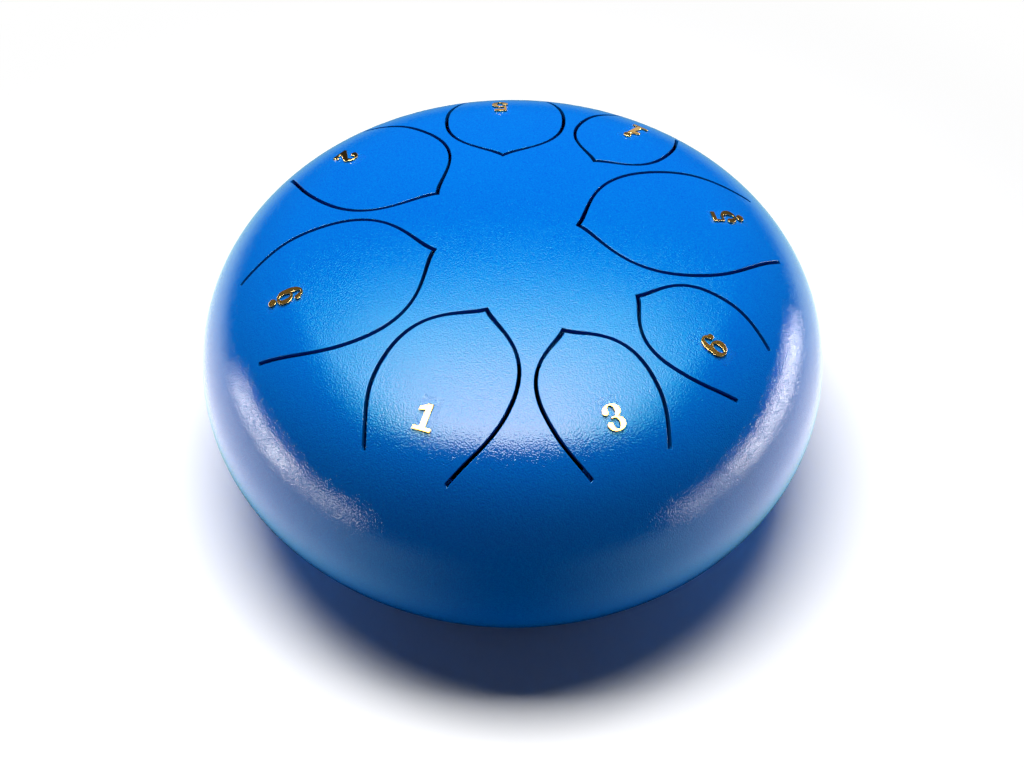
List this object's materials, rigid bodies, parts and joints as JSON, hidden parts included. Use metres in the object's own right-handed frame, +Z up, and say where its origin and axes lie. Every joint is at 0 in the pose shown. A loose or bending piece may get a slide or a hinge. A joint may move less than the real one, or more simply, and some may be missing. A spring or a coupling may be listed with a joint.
{
  "type": "steel tongue drum",
  "caption": "Round blue steel tongue drum: a domed shell with petal-shaped tongues and gold note numerals, over a bowl with a sound hole and rubber feet.",
  "frame": {"origin": "on the floor under the middle of the drum", "axes": "+Z up along the drum's axis, -Y towards the player"},
  "size_m": [0.155, 0.155, 0.0803],
  "materials": {
    "blue_coat": "semi-gloss powder coat with a fine orange peel",
    "gold_foil": "polished gold metal sticker",
    "clear_film": "clear glossy film",
    "nickel_plate": "bright nickel plating",
    "foot_rubber": "matt black rubber",
    "zinc_steel": "zinc-plated steel"
  },
  "bodies": {
    "drum_body": {"top_shell": "blue_coat", "bottom_shell": "blue_coat", "seam_weld": "blue_coat", "foot_back": "foot_rubber", "foot_left": "foot_rubber", "foot_right": "foot_rubber", "foot_screws": "zinc_steel", "foot_washers": "zinc_steel", "foot_nuts": "zinc_steel"},
    "tongue_1_body": {"tongue_1": "blue_coat", "film_1": "clear_film", "numeral_1": "gold_foil", "magnet_1": "nickel_plate"},
    "tongue_3_body": {"tongue_3": "blue_coat", "film_3": "clear_film", "numeral_3": "gold_foil", "magnet_3": "nickel_plate"},
    "tongue_6_body": {"tongue_6": "blue_coat", "film_6": "clear_film", "numeral_6": "gold_foil", "magnet_6": "nickel_plate"},
    "tongue_low_5_body": {"tongue_low_5": "blue_coat", "film_low_5": "clear_film", "numeral_low_5": "gold_foil", "magnet_low_5": "nickel_plate"},
    "tongue_high_1_body": {"tongue_high_1": "blue_coat", "film_high_1": "clear_film", "numeral_high_1": "gold_foil", "magnet_high_1": "nickel_plate"},
    "tongue_5_body": {"tongue_5": "blue_coat", "film_5": "clear_film", "numeral_5": "gold_foil", "magnet_5": "nickel_plate"},
    "tongue_2_body": {"tongue_2": "blue_coat", "film_2": "clear_film", "numeral_2": "gold_foil", "magnet_2": "nickel_plate"},
    "tongue_low_6_body": {"tongue_low_6": "blue_coat", "film_low_6": "clear_film", "numeral_low_6": "gold_foil", "magnet_low_6": "nickel_plate"}
  },
  "joints": [
    {"name": "tongue_1_flex", "type": "hinge", "parent": "drum_body", "child": "tongue_1_body", "pos_m": [-0.02269, -0.0591, 0.0672], "axis": [-0.9023, 0.427, 0.0588], "range_deg": [-0.6, 0.6], "stiffness_Nm_per_rad": 107.7},
    {"name": "tongue_3_flex", "type": "hinge", "parent": "drum_body", "child": "tongue_3_body", "pos_m": [0.02524, -0.05805, 0.06727], "axis": [-0.9009, -0.4331, -0.0295], "range_deg": [-0.6, 0.6], "stiffness_Nm_per_rad": 115.4},
    {"name": "tongue_6_flex", "type": "hinge", "parent": "drum_body", "child": "tongue_6_body", "pos_m": [0.05386, -0.03326, 0.06735], "axis": [-0.5105, -0.8598, -0.0134], "range_deg": [-0.6, 0.6], "stiffness_Nm_per_rad": 116.4},
    {"name": "tongue_low_5_flex", "type": "hinge", "parent": "drum_body", "child": "tongue_low_5_body", "pos_m": [0.06187, 0.01338, 0.06707], "axis": [0.2168, -0.9762, -0.0045], "range_deg": [-0.6, 0.6], "stiffness_Nm_per_rad": 103.1},
    {"name": "tongue_high_1_flex", "type": "hinge", "parent": "drum_body", "child": "tongue_high_1_body", "pos_m": [0.03567, 0.05229, 0.06735], "axis": [0.8377, -0.5458, -0.0163], "range_deg": [-0.6, 0.6], "stiffness_Nm_per_rad": 122.1},
    {"name": "tongue_5_flex", "type": "hinge", "parent": "drum_body", "child": "tongue_5_body", "pos_m": [-0.00177, 0.06327, 0.06714], "axis": [0.9989, -0.024, 0.0407], "range_deg": [-0.6, 0.6], "stiffness_Nm_per_rad": 126.8},
    {"name": "tongue_2_flex", "type": "hinge", "parent": "drum_body", "child": "tongue_2_body", "pos_m": [-0.04806, 0.04119, 0.06681], "axis": [0.6666, 0.7452, 0.0171], "range_deg": [-0.6, 0.6], "stiffness_Nm_per_rad": 127.4},
    {"name": "tongue_low_6_flex", "type": "hinge", "parent": "drum_body", "child": "tongue_low_6_body", "pos_m": [-0.06076, -0.01777, 0.06677], "axis": [-0.2842, 0.9588, -0.003], "range_deg": [-0.6, 0.6], "stiffness_Nm_per_rad": 120.6}
  ]
}
